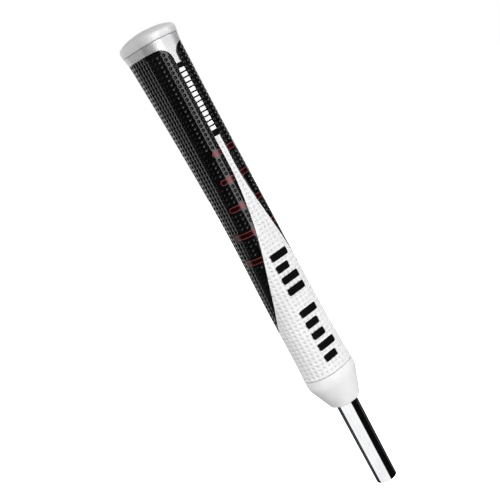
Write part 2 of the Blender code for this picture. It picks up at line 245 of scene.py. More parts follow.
def wedge_edge(heights):
    """Half the white sheet's width at each height, measured round the surface."""
    fall = np.maximum(0.0, WEDGE_START - heights)
    sweep = np.maximum(0.0, SWEEP_START - heights)
    return STRIPE_HALF_WIDTH + WEDGE_GROWTH * fall**WEDGE_POWER + SWEEP_GROWTH * sweep**2


def wedge_distance(arcs, heights):
    """Distance from the wedge's slanting edge: negative on the white side."""
    slope = wedge_edge(heights + 0.5) - wedge_edge(heights - 0.5)
    return (np.abs(arcs) - wedge_edge(heights)) / np.hypot(1.0, slope)


def skirt_height(arcs):
    """Height of the skirt's lower edge beside the tang."""
    beyond = np.maximum(0.0, arcs - TANG_HALF_WIDTH)
    turn = np.clip(1.0 - beyond / TANG_FLARE_WIDTH, 0.0, 1.0)
    flare = TANG_FLARE_BOTTOM + TANG_FLARE_RISE * np.sqrt(1.0 - turn**2)
    flare_end = TANG_HALF_WIDTH + TANG_FLARE_WIDTH
    along = np.clip((arcs - flare_end) / (SKIRT_SLOPE_END - flare_end), 0.0, 1.0)
    return flare + (SKIRT_BOTTOM - TANG_FLARE_BOTTOM - TANG_FLARE_RISE) * along


def skirt_line():
    """The edge beside the tang and under the skirt, as points in arc and height."""
    turn = np.linspace(0.0, math.pi / 2, FLARE_POINTS)
    flare_arcs = TANG_HALF_WIDTH + TANG_FLARE_WIDTH * (1.0 - np.cos(turn))
    past_back, below_tang = 90.0, 200.0
    arcs = np.concatenate([[TANG_HALF_WIDTH], flare_arcs, [SKIRT_SLOPE_END, past_back]])
    heights = np.concatenate(
        [[below_tang], skirt_height(flare_arcs), [SKIRT_BOTTOM, SKIRT_BOTTOM]]
    )
    return np.column_stack([arcs, heights])


def skirt_distance(arcs, heights):
    """Distance from the skirt's side and lower edge: positive on the skirt's side."""
    distance = np.full(len(arcs), FAR)
    near = heights > TANG_BOTTOM - 12.0
    points = np.column_stack([np.abs(arcs[near]), heights[near]])
    line = skirt_line()
    best = np.full(len(points), FAR)
    for start, end in zip(line, line[1:]):
        run = end - start
        if not run.any():
            continue
        share = np.clip((points - start) @ run / (run @ run), 0.0, 1.0)
        gap = points - start - share[:, None] * run
        best = np.minimum(best, np.hypot(gap[:, 0], gap[:, 1]))
    distance[near] = best
    inner = (np.abs(arcs) < TANG_HALF_WIDTH) | (heights > skirt_height(np.abs(arcs)))
    return np.where(inner, distance, -distance)


def slot_heights():
    """Height of each slot's middle."""
    return [TOP_ROW - row * ROW_PITCH for row in SLOT_ROWS]


def is_dimpled(arcs, heights):
    """Which lattice cells, given by their centres, hold a dimple."""
    from_wedge = wedge_distance(arcs, heights)
    on_edge = (np.abs(from_wedge) < EDGE_MARGIN) & (heights < WEDGE_TIP + 1.0)
    on_print = (np.abs(arcs) < PRINT_HALF_WIDTH) & (heights > WEDGE_TIP - 1.5)
    on_skirt = skirt_distance(arcs, heights) > -SKIRT_MARGIN
    on_skirt &= (np.abs(arcs) > TANG_HALF_WIDTH) | (heights > TANG_BOTTOM - 2.0)
    found = ~(on_edge | on_print | on_skirt)
    for middle, half_length in zip(slot_heights(), SLOT_HALF_LENGTHS):
        in_slot = np.abs(arcs) < half_length + SLOT_END_MARGIN
        in_slot &= np.abs(heights - middle) < SLOT_HALF_BAND
        found &= ~(in_slot & (from_wedge > 0.0))
    return found


def dimple_depth(arcs, heights):
    """How deep the bowl is at each place, in the cell that the place lies in."""
    column = np.round(arcs / COLUMN_PITCH)
    row = np.round((heights - TOP_ROW) / ROW_PITCH)
    middle_arc, middle_height = column * COLUMN_PITCH, TOP_ROW + row * ROW_PITCH
    radius = np.hypot(arcs - middle_arc, heights - middle_height)
    depth = np.interp(radius, DIMPLE_RADII[::-1], DIMPLE_DEPTHS[::-1])
    return np.where(is_dimpled(middle_arc, middle_height), depth, 0.0)


def cell_border():
    """Twelve points round a lattice cell, anticlockwise, three to a side."""
    x, y = COLUMN_PITCH / 2, ROW_PITCH / 2
    side = [(x, -y / 3), (x, y / 3), (x, y)]
    top = [(x / 3, y), (-x / 3, y), (-x, y)]
    return np.array(side + top + [(-a, -b) for a, b in side + top])


def dimple_cell():
    """Points and faces of a cell with a round bowl."""
    border = cell_border()
    turns = np.radians(-15.0 + 30.0 * np.arange(DIMPLE_SIDES))
    circle = np.column_stack([np.cos(turns), np.sin(turns)])
    rings = [border] + [circle * radius for radius in DIMPLE_RADII[:-1]]
    points = np.concatenate(rings + [np.zeros((1, 2))])
    faces = []
    for ring in range(len(rings) - 1):
        for n in range(DIMPLE_SIDES):
            after = (n + 1) % DIMPLE_SIDES
            outer, inner = ring * DIMPLE_SIDES, (ring + 1) * DIMPLE_SIDES
            faces.append((outer + n, outer + after, inner + after, inner + n))
    inner = (len(rings) - 1) * DIMPLE_SIDES
    for n in range(DIMPLE_SIDES):
        faces.append((inner + n, inner + (n + 1) % DIMPLE_SIDES, len(points) - 1))
    return points, faces


def plain_cell():
    """Points and faces of a cell with no bowl, whose border matches the others'."""
    xs = np.array([-3, -1, 1, 3]) * COLUMN_PITCH / 6
    ys = np.array([-3, -1, 1, 3]) * ROW_PITCH / 6
    points = np.array([(x, y) for y in ys for x in xs])
    faces = [
        (4 * r + c, 4 * r + c + 1, 4 * r + c + 5, 4 * r + c + 4)
        for r in range(3)
        for c in range(3)
    ]
    return points, faces


def flat_mesh(points, faces):
    """A bmesh in arc and height from points that may repeat where cells meet."""
    keys, index = np.unique(np.round(points, 4), axis=0, return_inverse=True)
    index = index.reshape(-1)
    mesh = bpy.data.meshes.new("flat")
    mesh.from_pydata(
        [(a, h, 0.0) for a, h in keys.tolist()], [], [index[list(face)].tolist() for face in faces]
    )
    shape = bmesh.new()
    shape.from_mesh(mesh)
    bpy.data.meshes.remove(mesh)
    return shape


def flat_lattice():
    """The whole moulded sheet, laid flat, with a bowl in each dimpled cell."""
    columns = np.arange(-COLUMNS_EACH_SIDE, COLUMNS_EACH_SIDE + 1) * COLUMN_PITCH
    rows = TOP_ROW - np.arange(-ROWS_ABOVE, ROWS_BELOW) * ROW_PITCH
    arcs, heights = (grid.ravel() for grid in np.meshgrid(columns, rows))
    near = np.abs(arcs) < grip.half_perimeter(heights) + COLUMN_PITCH
    arcs, heights = arcs[near], heights[near]
    dimpled = is_dimpled(arcs, heights)
    points, faces, start = [], [], 0
    for template, chosen in ((dimple_cell(), dimpled), (plain_cell(), ~dimpled)):
        cell_points, cell_faces = template
        centres = np.column_stack([arcs[chosen], heights[chosen]])
        points.append((centres[:, None, :] + cell_points[None]).reshape(-1, 2))
        for cell in range(len(centres)):
            base = start + cell * len(cell_points)
            faces.extend(tuple(base + n for n in face) for face in cell_faces)
        start += len(centres) * len(cell_points)
    return flat_mesh(np.concatenate(points), faces)


def flat_grid(arcs, heights):
    """A bmesh in arc and height from two grids of the same shape."""
    shape = bmesh.new()
    rows = [
        [shape.verts.new((a, h, 0.0)) for a, h in zip(arc_row, height_row)]
        for arc_row, height_row in zip(arcs, heights)
    ]
    for lower, upper in zip(rows, rows[1:]):
        for n in range(len(lower) - 1):
            shape.faces.new((lower[n], lower[n + 1], upper[n + 1], upper[n]))
    return shape


def flat_places(shape):
    """Arc and height of every point of a flat mesh."""
    places = np.array([vert.co[:2] for vert in shape.verts])
    return places[:, 0], places[:, 1]


def cut(shape, level, inside=None):
    """Splits the flat faces where `level`, a function of arc and height, is zero."""
    arcs, heights = flat_places(shape)
    values = level(arcs, heights)
    close = np.abs(values) < CUT_REACH
    if inside:
        close &= inside(arcs, heights)
    verts = list(shape.verts)
    for vert, value in zip(verts, values):
        vert.co.z = value
    faces = {face for n in np.flatnonzero(close) for face in verts[n].link_faces}
    geometry = list(faces)
    geometry += {edge for face in faces for edge in face.edges}
    geometry += {vert for face in faces for vert in face.verts}
    bmesh.ops.bisect_plane(
        shape, geom=geometry, dist=CUT_SNAP, plane_co=(0.0, 0.0, 0.0), plane_no=(0.0, 0.0, 1.0)
    )
    for vert in shape.verts:
        vert.co.z = 0.0


def keep_faces(shape, wanted):
    """A copy of the flat mesh with only the faces whose middles are wanted."""
    piece = shape.copy()
    faces = list(piece.faces)
    middles = np.array([face.calc_center_median()[:2] for face in faces])
    wanted_faces = wanted(middles[:, 0], middles[:, 1])
    dropped = [face for face, stays in zip(faces, wanted_faces) if not stays]
    bmesh.ops.delete(piece, geom=dropped, context="FACES")
    bmesh.ops.remove_doubles(piece, verts=piece.verts, dist=MERGE_FLAT)
    return piece


def wrapped(name, shape, lift, hem, finish, pit_depth_and_shade=None):
    """Wraps a flat mesh round the grip, with its border turned down by `hem` millimetres."""
    arcs, heights = flat_places(shape)
    lifts = shape.verts.layers.float.new("lift")
    # Each point's share of the full dimple depth is kept here, and the white skin reads it to
    # paint shade in its dimples.
    pit_shade_layer = shape.verts.layers.float.new("pit_depth_and_shade")
    depth = pit_depth_and_shade(arcs, heights) if pit_depth_and_shade else np.zeros(len(arcs))
    for vert, raised, sunk in zip(shape.verts, lift(arcs, heights), depth):
        vert[lifts] = raised - sunk
        vert[pit_shade_layer] = sunk / DIMPLE_DEPTHS[-1]
    border = [edge for edge in shape.edges if edge.is_boundary]
    made = bmesh.ops.extrude_edge_only(shape, edges=border)["geom"]
    for vert in (item for item in made if isinstance(item, bmesh.types.BMVert)):
        vert[lifts] = -hem
    arcs, heights = flat_places(shape)
    levels = np.array([vert[lifts] for vert in shape.verts])
    for vert, point in zip(shape.verts, grip.wrap(arcs, heights, levels).tolist()):
        vert.co = point
    return piece_from(name, shape, finish, sharp_deg=50.0)


def piece_from(name, shape, finish, sharp_deg=40.0):
    """A smooth-shaded object made from a bmesh, which it frees."""
    mesh = bpy.data.meshes.new(name)
    shape.to_mesh(mesh)
    shape.free()
    mesh.shade_smooth()
    mesh.set_sharp_from_angle(angle=math.radians(sharp_deg))
    piece = bpy.data.objects.new(name, mesh)
    bpy.context.scene.collection.objects.link(piece)
    piece.data.materials.append(finish)
    return piece


def level_lift(height):
    """The same lift everywhere."""
    return lambda arcs, heights: np.full(len(arcs), height)


def rolled(distance):
    """How far a sheet drops close to its edge."""
    share = np.clip(1.0 - distance / ROLL, 0.0, 1.0)
    return -ROLL_DROP * share**2


def back_gap(arcs, heights):
    """Distance from the middle of the back, measured round the surface."""
    return grip.half_perimeter(heights) - np.abs(arcs)


def make_skins(black, white):
    """The dimpled black and white sheets, cut from one lattice so that their dimples line up."""
    shape = flat_lattice()
    for offset in (0.0, ROLL):
        cut(shape, lambda a, h: skirt_distance(a, h) + GROOVE + offset)
        cut(
            shape,
            lambda a, h: h - TANG_BOTTOM + GROOVE + offset,
            inside=lambda a, h: np.abs(a) < TANG_HALF_WIDTH + CUT_MARGIN,
        )
        cut(shape, lambda a, h: h - SKIN_BOTTOM - offset)
        cut(shape, lambda a, h: back_gap(a, h) - GROOVE - offset)
        for side in (-1.0, 1.0):
            shift = side * (GROOVE + offset)
            cut(
                shape,
                lambda a, h: wedge_distance(a, h) - shift,
                inside=lambda a, h: h < WEDGE_TIP + CUT_MARGIN,
            )
            cut(
                shape,
                lambda a, h: h - WEDGE_TIP - shift,
                inside=lambda a, h: np.abs(a) < STRIPE_HALF_WIDTH + 0.8,
            )

    def under_skirt(arcs, heights):
        below_tang = (np.abs(arcs) < TANG_HALF_WIDTH + 0.5) & (heights < TANG_BOTTOM - GROOVE)
        return (skirt_distance(arcs, heights) < -GROOVE) | below_tang

    def in_range(arcs, heights):
        return (heights > SKIN_BOTTOM) & (back_gap(arcs, heights) > GROOVE)

    def in_white(arcs, heights):
        inside = (wedge_distance(arcs, heights) < -GROOVE) & (heights < WEDGE_TIP - GROOVE)
        return inside & in_range(arcs, heights)

    def in_black(arcs, heights):
        outside = (wedge_distance(arcs, heights) > GROOVE) | (heights > WEDGE_TIP + GROOVE)
        return outside & under_skirt(arcs, heights) & in_range(arcs, heights)

    def roll(arcs, heights):
        side = np.abs(wedge_distance(arcs, heights))
        tip = np.abs(heights - WEDGE_TIP)
        stripe = np.abs(arcs) - STRIPE_HALF_WIDTH
        wedge = np.where(heights > WEDGE_TIP, np.hypot(tip, np.maximum(0.0, stripe)), side)
        wedge = np.where(stripe < 0.0, np.minimum(wedge, tip), wedge)
        skirt = np.abs(skirt_distance(arcs, heights))
        tang = np.hypot(heights - TANG_BOTTOM, np.maximum(0.0, np.abs(arcs) - TANG_HALF_WIDTH))
        skirt = np.where(heights < TANG_BOTTOM, tang, skirt)
        seam = heights - SKIN_BOTTOM + GROOVE
        nearest = np.minimum.reduce([wedge, skirt, seam, back_gap(arcs, heights)])
        return rolled(nearest - GROOVE)

    sheets = []
    for name, wanted, finish in (
        ("skin_black_surface", in_black, black),
        ("skin_white_surface", in_white, white),
    ):
        piece = keep_faces(shape, wanted)
        sheets.append(wrapped(name, piece, roll, SKIN_THICKNESS, finish, pit_depth_and_shade=dimple_depth))
    shape.free()
    return sheets


def make_skirt(finish):
    """The silver skirt and its tang, cut from a flat grid along the same line as the skin."""
    reach = grip.half_perimeter(np.array([SKIRT_TOP]))[0] + 1.0
    column_count, row_count = 220, 34
    columns = np.linspace(-reach, reach, column_count)
    rows = np.linspace(TANG_BOTTOM - 0.6, SKIRT_TOP, row_count)
    shape = flat_grid(*np.meshgrid(columns, rows))
    for offset in (0.0, ROLL):
        cut(shape, lambda a, h: skirt_distance(a, h) - offset)
        cut(
            shape,
            lambda a, h: h - TANG_BOTTOM - offset,
            inside=lambda a, h: np.abs(a) < TANG_HALF_WIDTH + CUT_MARGIN,
        )
        cut(shape, lambda a, h: h - SKIRT_TOP + offset)
        cut(shape, lambda a, h: back_gap(a, h) - BACK_SEAM)

    def wanted(arcs, heights):
        inner = (skirt_distance(arcs, heights) > 0.0) & (heights > TANG_BOTTOM)
        return inner & (back_gap(arcs, heights) > BACK_SEAM)

    def roll(arcs, heights):
        tang = np.where(np.abs(arcs) < TANG_HALF_WIDTH + 0.1, heights - TANG_BOTTOM, FAR)
        edges = [np.abs(skirt_distance(arcs, heights)), tang, SKIRT_TOP - heights]
        return rolled(np.minimum.reduce(edges))

    return wrapped("cap_skirt_shell", keep_faces(shape, wanted), roll, SKIN_THICKNESS, finish)


# --- raised print and paint -----------------------------------------------------------


def rounded_half(offset, half, corner):
    """How far a rounded rectangle draws in from its full length at an offset from its middle."""
    into = max(0.0, abs(offset) - (half - corner))
    return corner - math.sqrt(max(0.0, corner**2 - into**2))


def bar(low_arc, high_arc, middle, half_height, corner):
    """A flat rounded bar that runs round the grip between two arcs."""
    row_count = 11
    turns = np.linspace(-math.pi / 2, math.pi / 2, row_count)
    columns = max(3, int((high_arc - low_arc) / PRINT_STEP))
    arcs, heights = [], []
    for offset in half_height * np.sin(turns):
        drawn = rounded_half(offset, half_height, corner)
        arcs.append(np.linspace(low_arc + drawn, high_arc - drawn, columns))
        heights.append(np.full(columns, middle + offset))
    return flat_grid(arcs, heights)


def merged(shapes):
    """Several flat meshes as one."""
    whole = bmesh.new()
    for shape in shapes:
        mesh = bpy.data.meshes.new("part")
        shape.to_mesh(mesh)
        shape.free()
        whole.from_mesh(mesh)
        bpy.data.meshes.remove(mesh)
    return whole


def slot_inside(middle, half_length, side):
    """The painted floor of one slot, on one side of the white wedge."""
    row_count, reach = 13, 0.97 * SLOT_HALF_HEIGHT
    turns = np.linspace(-math.pi / 2, math.pi / 2, row_count)
    columns = max(4, int((half_length - wedge_edge(middle)) / PRINT_STEP))
    arcs, heights = [], []
    for offset in reach * np.sin(turns):
        start = wedge_edge(middle + offset) + SLOT_START
        end = half_length - rounded_half(offset, SLOT_HALF_HEIGHT, SLOT_HALF_HEIGHT)
        arcs.append(side * np.linspace(start, max(end, start + 0.1), columns))
        heights.append(np.full(columns, middle + offset))
    if side < 0:
        arcs, heights = arcs[::-1], heights[::-1]
    return flat_grid(arcs, heights)


def slot_outline(middle, half_length, side):
    """The raised line round one slot, open where the wedge crosses it."""
    corner = SLOT_HALF_HEIGHT - SLOT_LINE / 2
    bend = half_length - SLOT_HALF_HEIGHT
    line_step, bend_points = 0.8, 17
    runs = []
    for sign in (1.0, -1.0):
        height = middle + sign * corner
        start = wedge_edge(height) + SLOT_START
        count = max(2, int((bend - start) / line_step))
        run = np.linspace(start, bend, count, endpoint=False)
        runs.append([(arc, height, 0.0, sign) for arc in run])
    curve = [
        (bend + corner * math.cos(t), middle + corner * math.sin(t), math.cos(t), math.sin(t))
        for t in np.linspace(math.pi / 2, -math.pi / 2, bend_points)
    ]
    path = runs[0] + curve + runs[1][::-1]
    arcs, heights = [], []
    for share in (-0.5, 0.0, 0.5):
        arcs.append([side * (a + share * SLOT_LINE * na) for a, h, na, nh in path])
        heights.append([h + share * SLOT_LINE * nh for a, h, na, nh in path])
    if side > 0:
        arcs, heights = arcs[::-1], heights[::-1]
    return flat_grid(arcs, heights)


def make_slots(line_finish, floor_finish):
    """The red slots on both sides of the wedge: painted floors, and the lines round them."""
    places = [
        (middle, half, side)
        for middle, half in zip(slot_heights(), SLOT_HALF_LENGTHS)
        for side in (-1.0, 1.0)
    ]
    floors = merged(slot_inside(*place) for place in places)
    lines = merged(slot_outline(*place) for place in places)
    return [
        wrapped("slot_floors", floors, level_lift(FLOOR_LIFT), PRINT_HEM, floor_finish),
        wrapped("slot_lines", lines, level_lift(LINE_LIFT), PRINT_HEM, line_finish),
    ]


def make_upper_marks(finish):
    """Plain white dashes in line between the tang and the tip of the wedge."""
    top, bottom, count = 239.6, 196.4, 13
    half_width, corner = 2.1, 0.35
    pitch = (top - bottom) / count
    shapes = []
    for n in range(count):
        middle = top - (n + 0.5) * pitch
        shapes.append(bar(-half_width, half_width, middle, 0.36 * pitch, corner))
    return wrapped("upper_marks", merged(shapes), level_lift(MARK_LIFT), PRINT_HEM, finish)


def make_lower_marks(finish):
    """Bold black bars across the white wedge, tall and short like a plain gauge."""
    top, bottom = 112.9, 31.2
    tall, short = (-7.1, 7.1), (-7.1, 3.4)
    pattern = (tall, short, tall, tall, None, tall, short, short, tall, short)
    corner = 1.1
    pitch = (top - bottom) / len(pattern)
    shapes = []
    for n, reach in enumerate(pattern):
        if reach:
            middle = top - (n + 0.5) * pitch
            shapes.append(bar(*reach, middle, 0.3 * pitch, corner))
    return wrapped("lower_marks", merged(shapes), level_lift(MARK_LIFT), PRINT_HEM, finish)


# --- turned and lofted pieces ----------------------------------------------------------


def loft(rings, closed=False):
    """Quads between rings of (x, y, height) in millimetres; `closed` fills the first ring."""
    shape = bmesh.new()
    rows = [
        [shape.verts.new((x * MM, y * MM, (height + MOUTH) * MM)) for x, y, height in ring]
        for ring in rings
    ]
    for upper, lower in zip(rows, rows[1:]):
        count = len(upper)
        for n in range(count):
            after = (n + 1) % count
            shape.faces.new((upper[n], lower[n], lower[after], upper[after]))
    if closed:
        shape.faces.new(rows[0])
    bmesh.ops.recalc_face_normals(shape, faces=shape.faces)
    return shape


def oval(height, grow=0.0):
    """The grip's whole section, anticlockwise from the middle of the front."""
    xs, ys = half_outline(height, grow)
    lengths = arc_lengths(xs, ys)
    reach = np.linspace(0.0, lengths[-1], RING_SIDES // 2 + 1)
    x, y = np.interp(reach, lengths, xs), np.interp(reach, lengths, ys)
    return np.concatenate([np.column_stack([x, y]), np.column_stack([-x, y])[-2:0:-1]])


def circle(radius, setback=0.0):
    """A round ring with as many points as `oval`, from the same place on the front."""
    turns = 2.0 * math.pi * np.arange(RING_SIDES) / RING_SIDES
    return np.column_stack([radius * np.sin(turns), setback - radius * np.cos(turns)])


def at_height(outline, height):
    """An outline's points with their height beside them."""
    return np.column_stack([outline, np.full(len(outline), height)])


def make_cap(finish):
    """The crowned lid, with a softened lower edge and a vent over the shaft's bore."""
    base, rim = oval(CAP_BOTTOM), oval(CAP_BOTTOM, CAP_RIM_SPREAD)
    middle = np.array([0.0, 0.5 * (base[:, 1].max() + base[:, 1].min())])
    outlines = [
        at_height(base + (middle - base) * 0.1, CAP_BOTTOM + 0.02),
        at_height(oval(CAP_BOTTOM, -0.16), CAP_BOTTOM),
        at_height(oval(CAP_BOTTOM, -0.03), CAP_BOTTOM + 0.14),
    ]
    wall_rings, crown_rings = 5, 22
    for share in np.linspace(0.15, 1.0, wall_rings):
        outline = oval(CAP_BOTTOM, CAP_RIM_SPREAD * math.sin(0.5 * math.pi * share))
        outlines.append(at_height(outline, CAP_BOTTOM + (CAP_WALL_TOP - CAP_BOTTOM) * share))
    for turn in np.radians(np.linspace(6.0, 88.0, crown_rings)):
        outline = middle + (rim - middle) * math.cos(turn)
        rise = CAP_CROWN * math.sin(turn) * CAP_CROWN_SHARE
        outlines.append(at_height(outline, CAP_WALL_TOP + rise))
    shape = loft(outlines[::-1], closed=True)
    punch_vent(shape, VENT_RADIUS * MM)
    return piece_from("end_cap_shell", shape, finish)


def faces_up(face):
    return face.normal.z > 0.3


def close_to_vent(face, radius):
    return faces_up(face) and min(v.co.xy.length for v in face.verts) < 2.5 * radius


def punch_vent(shape, radius):
    """Cuts the round vent through the crown and gives it a short wall."""
    for n in range(VENT_SIDES):
        turn = 2.0 * math.pi * n / VENT_SIDES
        away = Vector((math.cos(turn), math.sin(turn), 0.0))
        near = [face for face in shape.faces if close_to_vent(face, radius)]
        geometry = near + list({e for f in near for e in f.edges})
        geometry += list({v for f in near for v in f.verts})
        bmesh.ops.bisect_plane(
            shape, geom=geometry, dist=1e-7, plane_co=away * radius, plane_no=away
        )
    hole = [
        face
        for face in shape.faces
        if faces_up(face) and face.calc_center_median().xy.length < 0.99 * radius
    ]
    bmesh.ops.delete(shape, geom=hole, context="FACES")
    rim = [
        edge
        for edge in shape.edges
        if edge.is_boundary and edge.verts[0].co.xy.length < 1.5 * radius
    ]
    made = bmesh.ops.extrude_edge_only(shape, edges=rim)["geom"]
    for vert in (item for item in made if isinstance(item, bmesh.types.BMVert)):
        vert.co.z -= VENT_DEPTH * MM


def make_collar(finish):
    """White rubber collar: oval where it meets the skin, round at the mouth."""
    lip = circle(LIP_RADIUS, LIP_SETBACK)
    wall_rings, lip_rings = 30, 8
    rings = [
        at_height(oval(COLLAR_TOP, -1.4), COLLAR_TOP),
        at_height(oval(COLLAR_TOP, -0.18), COLLAR_TOP),
        at_height(oval(COLLAR_TOP, -0.05), COLLAR_TOP - 0.12),
    ]
    for height in np.linspace(COLLAR_TOP - 0.35, COLLAR_LIP, wall_rings):
        t = (COLLAR_SHOULDER - height) / (COLLAR_SHOULDER - COLLAR_LIP)
        share = min(1.0, 0.5 * (t + math.sqrt(t * t + COLLAR_SOFTNESS)))
        outline = oval(height)
        rings.append(at_height(outline + (lip - outline) * share, height))
    for turn in np.radians(np.linspace(12.0, 90.0, lip_rings)):
        radius = MOUTH_RADIUS + (LIP_RADIUS - MOUTH_RADIUS) * math.cos(turn)
        height = COLLAR_LIP * (1.0 - math.sin(turn))
        rings.append(at_height(circle(radius, LIP_SETBACK), height))
    rings.append(at_height(circle(BORE_RADIUS + BORE_CHAMFER), 0.05))
    rings.append(at_height(circle(BORE_RADIUS), 0.4))
    rings.append(at_height(circle(BORE_RADIUS), BORE_DEPTH))
    return piece_from("lower_collar_shell", loft(rings), finish)


def make_shaft(finish):
    """The bright steel tube with its two chamfers at the cut end."""
    low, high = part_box("shaft")
    outer = high.x / MM
    end = outer - SHAFT_TAPER
    bottom, top = low.z / MM - MOUTH, high.z / MM - MOUTH
    profile = [
        (outer - SHAFT_WALL, top),
        (outer, top),
        (outer, 0.0),
        (end, bottom + SHAFT_CHAMFER),
        (end - SHAFT_CHAMFER, bottom),
        (end - SHAFT_WALL + SHAFT_CHAMFER, bottom),
        (end - SHAFT_WALL, bottom + SHAFT_CHAMFER),
        (outer - SHAFT_WALL, 0.0),
        (outer - SHAFT_WALL, top),
    ]
    shape = loft([at_height(circle(radius), height) for radius, height in profile])
    bmesh.ops.remove_doubles(shape, verts=shape.verts, dist=MERGE_WORLD)
    return piece_from("shaft_tube", shape, finish, sharp_deg=30.0)


# --- materials -------------------------------------------------------------------------


class Finish:
    """A Principled material under construction."""

    def __init__(self, name, color, roughness, metallic=0.0, **sockets):
        self.material = bpy.data.materials.new(name)
        self.material.use_nodes = True
        self.tree = self.material.node_tree
        self.shader = self.tree.nodes["Principled BSDF"]
        self.shader.inputs["Base Color"].default_value = (*color, 1.0)
        self.shader.inputs["Roughness"].default_value = roughness
        self.shader.inputs["Metallic"].default_value = metallic
        for socket, value in sockets.items():
            self.shader.inputs[socket.replace("_", " ")].default_value = value
        self.place = self.add("ShaderNodeTexCoord").outputs["Object"]

    def add(self, kind, **inputs):
        node = self.tree.nodes.new(kind)
        for name, value in inputs.items():
            node.inputs[name.replace("_", " ")].default_value = value
        return node

    def link(self, source, target):
        self.tree.links.new(source, target)

    def noise(self, per_mm, detail=3.0, stretch=None):
        """A noise with `per_mm` waves to the millimetre."""
        node = self.add("ShaderNodeTexNoise", Scale=per_mm / MM, Detail=detail)
        place = self.place
        if stretch:
            mapping = self.add("ShaderNodeMapping", Scale=stretch)
            self.link(place, mapping.inputs["Vector"])
            place = mapping.outputs["Vector"]
        self.link(place, node.inputs["Vector"])
        return node.outputs["Fac"]

    def span(self, value, low, high, start=0.35, end=0.65):
        """Spreads the middle of a 0 to 1 value over a range."""
        node = self.add("ShaderNodeMapRange")
        for name, number in (
            ("From Min", start),
            ("From Max", end),
            ("To Min", low),
            ("To Max", high),
        ):
            node.inputs[name].default_value = number
        self.link(value, node.inputs["Value"])
        return node.outputs["Result"]

    def mix(self, factor, first, second):
        node = self.tree.nodes.new("ShaderNodeMix")
        node.data_type = "RGBA"
        for socket, color in ((node.inputs[6], first), (node.inputs[7], second)):
            if isinstance(color, tuple):
                socket.default_value = (*color, 1.0)
            else:
                self.link(color, socket)
        self.link(factor, node.inputs[0])
        return node.outputs[2]

    def color(self, value):
        self.link(value, self.shader.inputs["Base Color"])

    def mottle(self, value, dark, light):
        """Colours the surface between two tones by a noise value."""
        self.color(self.mix(self.span(value, 0.0, 1.0), dark, light))

    def roughness(self, value, low, high):
        self.link(self.span(value, low, high), self.shader.inputs["Roughness"])

    def bump(self, height, depth_mm, strength=1.0):
        node = self.add("ShaderNodeBump", Strength=strength, Distance=depth_mm * MM)
        self.link(height, node.inputs["Height"])
        self.link(node.outputs["Normal"], self.shader.inputs["Normal"])

    def attribute(self, name):
        node = self.tree.nodes.new("ShaderNodeAttribute")
        node.attribute_name = name
        return node.outputs["Fac"]


def black_skin():
    """Glossy moulded polyurethane with a fine leathery grain."""
    finish = Finish("black_skin", (0.003, 0.003, 0.003), 0.14, IOR=1.5)
    finish.mottle(finish.noise(0.05), (0.0015, 0.0015, 0.002), (0.004, 0.004, 0.0045))
    finish.roughness(finish.noise(0.4), 0.10, 0.17)
    finish.bump(finish.noise(3.0, 2.0), 0.004, 0.6)
    return finish.material


def white_skin():
    """The same moulding in white, with painted shade greying the base colour down in its dimples.
    """
    finish = Finish("white_skin", (0.75, 0.75, 0.75), 0.42, IOR=1.45)
    tone = finish.mix(
        finish.span(finish.noise(0.05), 0.0, 1.0), (0.72, 0.72, 0.725), (0.77, 0.77, 0.77)
    )
    # Painted shade: the base colour greys towards (0.63, 0.63, 0.64) by how deep each point sits
    # in its dimple.
    pit_depth_and_shade = finish.span(finish.attribute("pit_depth_and_shade"), 0.0, 1.0, 0.1, 1.0)
    finish.color(finish.mix(pit_depth_and_shade, tone, (0.63, 0.63, 0.64)))
    finish.roughness(finish.noise(0.5), 0.33, 0.45)
    finish.bump(finish.noise(3.0, 2.0), 0.006, 0.6)
    return finish.material


def collar_rubber():
    """Smooth white rubber with a satin surface."""
    finish = Finish("white_collar", (0.8, 0.8, 0.8), 0.42, IOR=1.5)
    finish.mottle(finish.noise(0.08), (0.75, 0.75, 0.755), (0.81, 0.81, 0.81))
    finish.roughness(finish.noise(0.6), 0.40, 0.52)
    finish.bump(finish.noise(4.0, 3.0), 0.008, 0.5)
    return finish.material


def satin_silver(name, tone, metallic, rough):
    """Silver paint over moulded plastic: fine flakes under a satin surface."""
    finish = Finish(name, (tone, tone, tone), rough, metallic, IOR=1.5)
    dark, light = tone - 0.06, tone + 0.06
    flakes = finish.noise(6.0, 2.0)
    finish.mottle(flakes, (dark, dark, dark + 0.01), (light, light, light + 0.01))
    finish.roughness(finish.noise(0.7), rough - 0.05, rough + 0.05)
    finish.bump(finish.noise(5.0, 2.0), 0.004, 0.5)
    return finish.material


def paint(name, dark, light, rough, tint=(1.0, 1.0, 1.0), ior=1.5):
    """Printed ink with a slight mottle; `tint` colours its gloss."""
    finish = Finish(name, light, rough, IOR=ior, Specular_Tint=(*tint, 1.0))
    finish.mottle(finish.noise(1.2), dark, light)
    finish.roughness(finish.noise(0.9), rough - 0.05, rough + 0.05)
    finish.bump(finish.noise(3.5, 2.0), 0.005, 0.5)
    return finish.material


def chrome():
    """Plated steel with faint polishing marks round the tube."""
    finish = Finish("shaft_chrome", (0.80, 0.81, 0.83), 0.05, 1.0)
    finish.roughness(finish.noise(0.3, 3.0, stretch=(1.0, 1.0, 14.0)), 0.03, 0.08)
    finish.mottle(finish.noise(0.1), (0.78, 0.79, 0.81), (0.86, 0.87, 0.88))
    return finish.material


def foam():
    """Closed-cell foam: round cells, darker between them."""
    finish = Finish("foam", (0.25, 0.25, 0.27), 0.9)
    cells = finish.add("ShaderNodeTexVoronoi", Scale=1.4 / MM)
    finish.link(finish.place, cells.inputs["Vector"])
    shade = finish.span(cells.outputs["Distance"], 0.0, 1.0, 0.0, 0.8)
    finish.color(finish.mix(shade, (0.17, 0.17, 0.18), (0.30, 0.30, 0.32)))
    finish.bump(cells.outputs["Distance"], 0.12, 0.7)
    return finish.material


